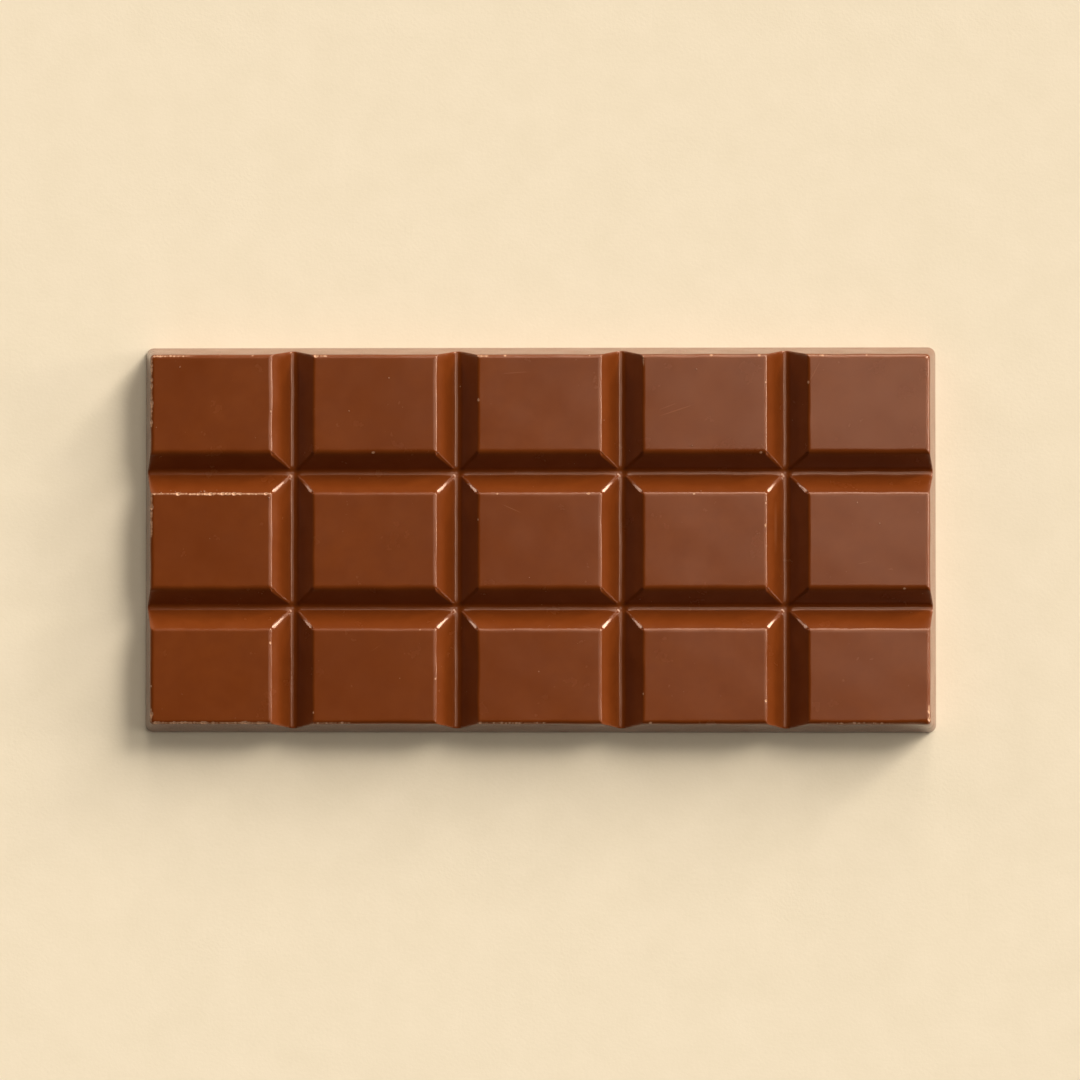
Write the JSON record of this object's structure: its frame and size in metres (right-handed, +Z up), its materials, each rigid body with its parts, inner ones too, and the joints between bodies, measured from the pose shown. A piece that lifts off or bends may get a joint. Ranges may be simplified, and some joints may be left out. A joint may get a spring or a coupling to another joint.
{
  "type": "chocolate bar",
  "caption": "Plain milk chocolate tablet with a flat back, moulded as rows of blocks between rounded V grooves for breaking it by hand.",
  "frame": {"origin": "middle of the flat back, in the plane of the surface it lies on", "axes": "+X along the bar's length, +Y across it, +Z up from the flat back through the block tops"},
  "size_m": [0.154, 0.075, 0.0086],
  "materials": {
    "milk_chocolate": "satin"
  },
  "bodies": {
    "root": {"chocolate_bar": "milk_chocolate"}
  },
  "joints": []
}
